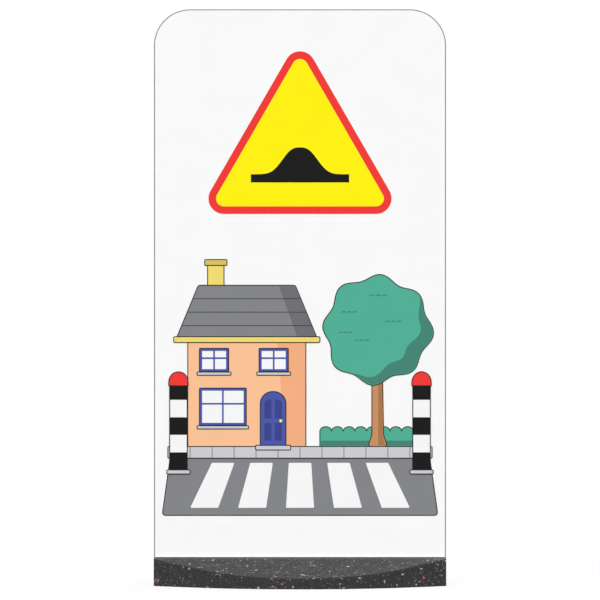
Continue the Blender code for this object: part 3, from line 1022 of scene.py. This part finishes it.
# %% draw the walls, the roof and the chimney
GROUND = 236.0
WALL_LEFT = -192.0
WALL_RIGHT = 10.0
WALL_TOP = 424.0
EAVES = 420.0
ROOF_TOP = 512.0
OVERHANG = 20.0
HIP = 38.0
CHIMNEY = -144.0
roof_left = WALL_LEFT - OVERHANG
roof_right = WALL_RIGHT + OVERHANG
shade_right = WALL_RIGHT - 1
ridge_left = roof_left + HIP
ridge_right = roof_right - HIP
wall_shade = tapered(
    (GROUND + 1, WALL_RIGHT - 34, shade_right), (WALL_TOP - 1, WALL_RIGHT - 50, shade_right), 1.0
)
roof = tapered((EAVES, roof_left, roof_right), (ROOF_TOP, ridge_left, ridge_right), [3, 3, 5, 5])
roof_shade = tapered(
    (EAVES + 1.5, roof_right - 34, roof_right - 2),
    (ROOF_TOP - 1.5, ridge_right - 28, ridge_right - 1),
    [1, 2, 3, 1],
)
drawn("peach", box_loop(WALL_LEFT, GROUND, WALL_RIGHT, WALL_TOP), 3)
plate("peach_shade", wall_shade, 4)
drawn("buff", box_loop(CHIMNEY - 14, ROOF_TOP - 26, CHIMNEY + 14, ROOF_TOP + 36), 3)
drawn("buff_shade", box_loop(CHIMNEY - 19, ROOF_TOP + 34, CHIMNEY + 19, ROOF_TOP + 44), 5)
drawn("road_grey", roof, 5)
plate("slate_shade", roof_shade, 6)
for z in np.linspace(EAVES, ROOF_TOP, 5)[1:-1]:
    lean = 1 + (z - EAVES) * HIP / (ROOF_TOP - EAVES)
    ribbon("outline", [(roof_left + lean, z), (roof_right - lean, z)], 7, width=1.1, closed=False)
drawn("buff", box_loop(roof_left - 4, EAVES - 6, roof_right + 4, EAVES + 4, 2.0), 7)
print("roof from", roof_left, "to", roof_right, "mm")

# %% [markdown]
# The house: door and windows.
# A window could be a frame built from bars, but then a bar may end short. Here it is a blue plate with
# four white panes laid on it, which leaves the frame and its bars. The door's four panels are drawn for
# one side and mirrored.

# %% draw the door and the windows
FRAME = 4.5
HALF_BAR = 1.5
CROSS_BAR = 0.58
DOOR = -46.0
DOOR_HALF = 22.0
DOOR_TOP = GROUND + 94


def window(left, low, right, high):
    """A blue frame with four white panes laid on it, and a pale sill."""
    drawn("blue", box_loop(left, low, right, high), 5)
    middle_x = (left + right) / 2
    middle_z = low + (high - low) * CROSS_BAR
    across = ((left + FRAME, middle_x - HALF_BAR), (middle_x + HALF_BAR, right - FRAME))
    upright = ((low + FRAME, middle_z - HALF_BAR), (middle_z + HALF_BAR, high - FRAME))
    for pane_left, pane_right in across:
        for pane_low, pane_high in upright:
            plate("white", box_loop(pane_left, pane_low, pane_right, pane_high, 0.6), 6)
    drawn("pale_grey", box_loop(left - 4, low - 6, right + 4, low - 0.5), 7)


door_radii = [1.5, 1.5, DOOR_HALF - 1, DOOR_HALF - 1]
drawn("blue", box_loop(DOOR - DOOR_HALF, GROUND, DOOR + DOOR_HALF, DOOR_TOP, door_radii, 12), 5)
for side in (-1, 1):
    near = DOOR + side * 3
    far = DOOR + side * 15
    upper_panel = [(near, GROUND + 48), (far, GROUND + 48), (far, GROUND + 78), (near, GROUND + 82)]
    plate("blue_shade", box_loop(min(near, far), GROUND + 10, max(near, far), GROUND + 40), 6)
    plate("blue_shade", rounded(upper_panel, [1.0, 1.0, 5.0, 3.0]), 6)
knob_turn = np.linspace(0, 2 * math.pi, 20, endpoint=False)
knob = np.c_[DOOR + 13 + 2.6 * np.cos(knob_turn), GROUND + 44 + 2.6 * np.sin(knob_turn)]
plate("yellow", knob, 8)
drawn("pale_grey", box_loop(DOOR - 30, GROUND - 6, DOOR + 30, GROUND + 2), 11)
window(WALL_LEFT + 20, GROUND + 36, WALL_LEFT + 100, GROUND + 100)
for left in (WALL_LEFT + 20, WALL_RIGHT - 80):
    window(left, GROUND + 128, left + 50, GROUND + 168)
print("the door is", DOOR_TOP - GROUND, "mm tall on the print")

# %% [markdown]
# The hedge and the trunk.
# Leaves in a flat print are a wavy edge. It could be drawn bump by bump, but a hedge is also a row of half
# sine waves, whose root makes each bump rounder. The trunk spreads at its foot and has its shade on the
# right, as the house has.

# %% draw the hedge and the trunk
TREE = 132.0
HEDGE_LEFT = 34.0
HEDGE_RIGHT = 214.0
HEDGE_RISE = 34.0
BUMP_RISE = 7.0


def hedge_loop(bumps):
    """A flat foot, and a top that rises and falls as the root of a sine's size."""
    x = np.linspace(HEDGE_RIGHT, HEDGE_LEFT, bumps * 10 + 1)
    wave = np.abs(np.sin(np.linspace(0, bumps * math.pi, len(x)))) ** 0.5
    foot = [[HEDGE_LEFT, GROUND], [HEDGE_RIGHT, GROUND]]
    return np.concatenate([foot, np.c_[x, GROUND + HEDGE_RISE - BUMP_RISE + BUMP_RISE * wave]])


def from_foot(offsets):
    """Corners given as (x, z) from the foot of the tree."""
    return np.array(offsets) + [TREE, GROUND]


trunk = from_foot([(-16, 0), (18, 0), (11, 20), (9, 136), (-9, 136), (-9, 20)])
trunk_shade = from_foot([(2, 2), (14, 2), (9, 20), (8, 134), (2, 134)])
drawn("green", hedge_loop(9), 3)
plate("green_shade", box_loop(HEDGE_LEFT + 1.5, GROUND + 1.5, HEDGE_RIGHT - 1.5, GROUND + 10, 1.0), 4)
drawn("bark", rounded(trunk, 4.0), 5)
plate("bark_shade", rounded(trunk_shade, 1.5), 6)
print("the trunk is", float(np.ptp(trunk[:, 1])), "mm tall under the leaves")

# %% [markdown]
# The crown.
# A crown could be a ring of circles, but their overlaps would show as lines. Here it is one circle whose
# radius swells eight times on the way round, and a slower wave keeps it from looking like a cog. The shade
# follows the crown's own edge and is pulled in towards the middle, and a few short arches stand for
# leaves.

# %% draw the crown
CROWN_HEIGHT = 436.0
CROWN = 90.0
SHADE_STEPS = 60
LEAF_MARKS = ((-48, 26, 5.0), (2, 54, 5.5), (-26, -22, 4.5), (28, 10, 5.0), (-54, -8, 4.0))


def crown_edge(turn, radius):
    """Points of the crown at these angles: the radius times 1 + 0.055 cos(8 turn) + 0.02 cos(3 turn)."""
    swell = radius * (1 + 0.055 * np.cos(8 * turn + 0.6) + 0.02 * np.cos(3 * turn))
    return np.c_[TREE + swell * np.cos(turn), CROWN_HEIGHT + swell * np.sin(turn)]


drawn("green", crown_edge(np.linspace(0, 2 * math.pi, 160, endpoint=False), CROWN), 7)
shade_edge = crown_edge(np.linspace(math.radians(-118), math.radians(38), SHADE_STEPS), CROWN - 1.8)
pulled_in = 1 - 0.3 * np.sin(np.linspace(0, math.pi, SHADE_STEPS))[:, None]
crown_middle = np.array([TREE, CROWN_HEIGHT])
shade_inside = crown_middle + (shade_edge - crown_middle) * pulled_in
plate("green_shade", np.concatenate([shade_edge, shade_inside[::-1][1:-1]]), 8)
arch_turn = np.linspace(math.radians(140), math.radians(40), 9)
arch = np.c_[np.cos(arch_turn), np.sin(arch_turn)]
for x, z, size in LEAF_MARKS:
    for step in (-2, 0, 2):
        ribbon("green_shade", crown_middle + [x, z] + size * (arch + [step, 0]), 9, 1.8, closed=False)
print("the crown is about", 2 * CROWN, "mm across")

# %% [markdown]
# The road, the crossing and the kerb.
# The bars of the crossing narrow with distance, as they would to someone at the kerb. Each could be drawn
# by eye, but all their sides aim at one far point, so only that point's distance is needed. The kerb is
# laid over the feet of the house, the hedge and the tree.

# %% draw the road, the crossing and the kerb
ROAD_FOOT = 118.0
KERB_FOOT = GROUND - 20
BAR_NEAR = 131.0
BAR_FAR = 208.0
BAR_HALF = 24.0
BAR_PITCH = 82.0
FAR_POINT = 390.0
shrunk = 1 - (BAR_FAR - BAR_NEAR) / FAR_POINT
drawn("road_grey", tapered((ROAD_FOOT, -236, 236), (KERB_FOOT + 2, -222, 222), 5.0), 1)
for n in (-2, -1, 0, 1, 2):
    left, right = n * BAR_PITCH - BAR_HALF, n * BAR_PITCH + BAR_HALF
    plate("white", tapered((BAR_NEAR, left, right), (BAR_FAR, left * shrunk, right * shrunk)), 3)
drawn("pale_grey", box_loop(-226, KERB_FOOT, 226, GROUND, 2.0), 8)
for x in np.linspace(-188, 188, 11):
    ribbon("outline", [(x, KERB_FOOT + 1), (x, GROUND - 1)], 9, width=1.0, closed=False)
print("the bars shrink to", round(100 * shrunk), "per cent at their far end")

# %% [markdown]
# The bollards.
# Two banded posts frame the scene and stand in front of everything. Each is one white plate with its dark
# bands laid on, which is how such posts are sleeved too, a red cap with a short skirt, and a pale foot.

# %% draw the bollards
BOLLARD_HALF = 15.0
BOLLARD_FOOT = 196.0
BAND = 30.0
BANDS = 5
CAP_EDGE = 1.5
CAP_RISE = 18.0
for x in (-208, 208):
    left, right, post_top = x - BOLLARD_HALF, x + BOLLARD_HALF, BOLLARD_FOOT + BANDS * BAND
    drawn("white", box_loop(left, BOLLARD_FOOT, right, post_top), 11)
    for z in np.arange(BOLLARD_FOOT, post_top, 2 * BAND):
        plate("black", box_loop(left, z, right, z + BAND, 0.8), 13)
    turn = np.linspace(0, math.pi, 24)
    dome = np.c_[x + (BOLLARD_HALF + CAP_EDGE) * np.cos(turn), post_top + CAP_RISE * np.sin(turn)]
    skirt = [[left - CAP_EDGE, post_top - 6], [right + CAP_EDGE, post_top - 6]]
    drawn("red", np.concatenate([dome, skirt]), 14)
    drawn("pale_grey", box_loop(left - 5, BOLLARD_FOOT - 7, right + 5, BOLLARD_FOOT, 2.5), 13)
print("colours used:", sorted(ink_parts))

# %% [markdown]
# From drawing to pieces.
# Each colour becomes one piece on the front. The back of the sign carries the same print, so each piece is
# turned half round the upright axis for it: x and y both change sign, which keeps every face pointing out.
# A mirror would be as quick, but it would turn the faces inwards and the picture the wrong way round.

# %% make the printed pieces
INKS = {
    "yellow": (254, 240, 0),
    "red": (239, 55, 52),
    "black": (8, 8, 9),
    "outline": (30, 33, 36),
    "white": (246, 246, 246),
    "peach": (250, 193, 149),
    "peach_shade": (243, 174, 128),
    "buff": (240, 217, 112),
    "buff_shade": (216, 192, 96),
    "green": (79, 173, 147),
    "green_shade": (66, 130, 114),
    "blue": (73, 86, 165),
    "blue_shade": (56, 66, 138),
    "bark": (196, 142, 96),
    "bark_shade": (168, 116, 76),
    "road_grey": (130, 131, 135),
    "slate_shade": (108, 109, 114),
    "pale_grey": (204, 204, 206),
}
HALF_TURN = np.array([-1, -1, 1])
ink_volume = 0.0
for colour, parts in ink_parts.items():
    finish = print_finish(f"print_{colour}", screen_colour(*INKS[colour]))
    points = np.concatenate([done for done, _ in parts])
    faces = [face for _, done in parts for face in done]
    for name, placed in ((f"front_print_{colour}", points), (f"rear_print_{colour}", points * HALF_TURN)):
        piece = make_piece(name, placed, faces, finish, "panel", smooth=False)
        ink_volume += volume_of(piece.data)
print("printed pieces:", 2 * len(ink_parts), "with", round(ink_volume, 1), "cubic cm of film")

# %% [markdown]
# Aluminium and steel.
# The shoe rail is pushed through a die, which leaves fine lines along its length and a soft haze of oxide.
# The screws and washers are turned and tumbled, so their marks are short and lie every way. Both are
# metals, and differ mostly in colour and in the direction of their marks. So one recipe serves for both:
# the marks move the roughness and cut a very shallow relief.

# %% finishes of the metals
MARK_SIZE = 1 * MM
HAZE_SIZE = 8 * MM


def metal_finish(name, dark, pale, marks, low, high, depth):
    """A metal between two greys, whose marks are noise stretched by three factors, between two
    roughnesses."""
    finish, tree, shader, place = new_finish(name)
    lines = noise(tree, stretched(tree, place, *marks), MARK_SIZE, 3.0, 0.6)
    haze = noise(tree, place, HAZE_SIZE, 4.0)
    colour = blend_colours(tree, spread_to(tree, haze, 0.3, 0.7, 0.0, 1.0), dark, pale)
    tree.links.new(colour, shader.inputs["Base Color"])
    shader.inputs["Metallic"].default_value = 1.0
    both = maths(tree, "MULTIPLY_ADD", haze, 0.4, maths(tree, "MULTIPLY", lines, 0.6))
    tree.links.new(spread_to(tree, both, 0.3, 0.7, low, high), shader.inputs["Roughness"])
    tree.links.new(relief(tree, lines, depth), shader.inputs["Normal"])
    return finish


drawn_along_x = (0.02, 3.0, 3.0)
rail_dark, rail_pale = (0.58, 0.59, 0.60, 1), (0.70, 0.71, 0.72, 1)
rivet_dark, rivet_pale = (0.60, 0.61, 0.62, 1), (0.72, 0.73, 0.74, 1)
steel_dark, steel_pale = (0.46, 0.46, 0.47, 1), (0.58, 0.58, 0.59, 1)
aluminium = metal_finish("drawn_aluminium", rail_dark, rail_pale, drawn_along_x, 0.28, 0.5, 0.012 * MM)
rivets = metal_finish("rivet_aluminium", rivet_dark, rivet_pale, (1.5, 0.6, 1.5), 0.3, 0.46, 0.008 * MM)
steel = metal_finish("turned_steel", steel_dark, steel_pale, (2.0, 2.0, 2.0), 0.24, 0.42, 0.006 * MM)
METAL_PARTS = {
    "shoe_rail": aluminium,
    "rail_rivet": rivets,
    "base_screw": steel,
    "split_washer": steel,
    "base_washer": steel,
}
for node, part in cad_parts.items():
    for start, finish in METAL_PARTS.items():
        if node.startswith(start):
            part.material_slots[0].material = finish
print("metal parts finished:", sum(node.startswith(tuple(METAL_PARTS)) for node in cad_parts))

# %% [markdown]
# The studio floor.
# The sign is shown on white. A white floor under strong light would do, but it would also throw its light
# up at the panel and wash it out. So the floor's material asks what kind of ray meets it. A ray that is
# seen, by the camera, in a mirror image or through glass, finds a floor that is mostly its own white and
# partly lit, so the shadow under the base stays, softly. A ray that only carries light finds a dark floor.

# %% the floor
FLOOR_AS_LIT = 0.05
FLOOR_AS_SEEN = 0.52
OWN_WHITE = 0.85
FLOOR_REACH = 90.0
FLOOR_BELOW = 0.2 * MM


def seen_rays(tree):
    """1 on a ray of the camera, a mirror image or a view through glass, and 0 on a ray that only carries
    light."""
    rays = tree.nodes.new("ShaderNodeLightPath")
    seen = maths(tree, "MAXIMUM", rays.outputs["Is Camera Ray"], rays.outputs["Is Glossy Ray"])
    return maths(tree, "MAXIMUM", seen, rays.outputs["Is Transmission Ray"])


floor_finish, tree, shader, place = new_finish("studio_floor")
shader.inputs["Base Color"].default_value = (FLOOR_AS_LIT, FLOOR_AS_LIT, FLOOR_AS_LIT, 1)
shader.inputs["Roughness"].default_value = 0.9
shader.inputs["Specular IOR Level"].default_value = 0.1
seen_colour = (FLOOR_AS_SEEN, FLOOR_AS_SEEN, FLOOR_AS_SEEN, 1)
pale = add_node(tree, "ShaderNodeBsdfDiffuse", {"Color": seen_colour, "Roughness": 0.0})
own_white = add_node(tree, "ShaderNodeEmission", {"Color": (1, 1, 1, 1), "Strength": 1.0})
as_seen = add_node(tree, "ShaderNodeMixShader", {0: OWN_WHITE, 1: pale, 2: own_white})
mixed = add_node(tree, "ShaderNodeMixShader", {0: seen_rays(tree), 1: shader.outputs[0], 2: as_seen})
tree.links.new(mixed, tree.nodes["Material Output"].inputs["Surface"])
floor_line = np.linspace(-FLOOR_REACH, FLOOR_REACH, 3)
floor_x, floor_y = np.meshgrid(floor_line, floor_line)
floor_points = np.stack([floor_x, floor_y, np.full_like(floor_x, -FLOOR_BELOW)], axis=2).reshape(-1, 3)
floor = make_piece("studio_floor", floor_points, grid_faces(3, 3).tolist(), floor_finish, None, False)
print("the floor is", 2 * FLOOR_REACH, "metres square")

# %% [markdown]
# The light.
# Most of the light is an even white sky, which a photographer would make with large soft boxes. Area lamps
# would fall off over the height of the panel, so the direction comes from three broad suns: one from the
# upper front left, one from nearly overhead, which makes the sloping top of the base lighter than its
# wall, and one from behind, so that the back reads as well. Together they light a white panel to just
# under white, so that no pale surface burns out.

# %% the sky and the suns
SKY_LIGHT = 1.09
SKY_SEEN = 1.0
SUN_DISTANCE = 4.0
world = bpy.data.worlds.new("studio_world")
world.use_nodes = True
bpy.context.scene.world = world
tree = world.node_tree
strength = spread_to(tree, seen_rays(tree), 0.0, 1.0, SKY_LIGHT, SKY_SEEN)
tree.links.new(strength, tree.nodes["Background"].inputs["Strength"])
tree.nodes["Background"].inputs["Color"].default_value = (1, 1, 1, 1)


def add_sun(name, strength, width_deg, azimuth, elevation):
    """A distant lamp. Azimuth 0 shines from the front and 90 from the right, and elevation is upwards."""
    lamp = bpy.data.lights.new(name, "SUN")
    lamp.energy = strength
    lamp.angle = math.radians(width_deg)
    sun = bpy.data.objects.new(name, lamp)
    a, e = math.radians(azimuth), math.radians(elevation)
    towards = np.array([math.sin(a) * math.cos(e), -math.cos(a) * math.cos(e), math.sin(e)])
    sun.rotation_euler = (math.pi / 2 - e, 0.0, a)
    sun.location = towards * SUN_DISTANCE
    bpy.context.scene.collection.objects.link(sun)


add_sun("main_sun", strength=1.0, width_deg=40, azimuth=-22, elevation=32)
add_sun("top_sun", strength=1.9, width_deg=70, azimuth=40, elevation=76)
add_sun("rear_sun", strength=1.4, width_deg=60, azimuth=160, elevation=34)

# %% [markdown]
# The camera.
# In the photo the panel and the base have the same scale, although the base's lip is 200 mm nearer, so it
# was taken from far off with a long lens, a little above the level of the sign. A camera without
# perspective would look alike, but a lens keeps the other views natural too. It follows from the width
# that the picture covers: 600 pixels of 1.711 mm at 30 metres.

# %% place the camera
PICTURE_WIDTH = 600 * 1.711 * MM
SENSOR = 36.0
DISTANCE = 30.0
LOOK_DOWN = math.radians(1.67)
AIM_HEIGHT = 0.4867
camera_data = bpy.data.cameras.new("photo_camera")
camera = bpy.data.objects.new("photo_camera", camera_data)
bpy.context.scene.collection.objects.link(camera)
camera_data.sensor_width = SENSOR
camera_data.lens = SENSOR * DISTANCE / PICTURE_WIDTH
camera_data.clip_end = 400.0
camera.location = (0.0, -DISTANCE * math.cos(LOOK_DOWN), AIM_HEIGHT + DISTANCE * math.sin(LOOK_DOWN))
camera.rotation_euler = (math.pi / 2 - LOOK_DOWN, 0.0, 0.0)
bpy.context.scene.camera = camera
bpy.context.scene.view_settings.view_transform = "Standard"
print("lens in mm:", round(camera_data.lens, 1))
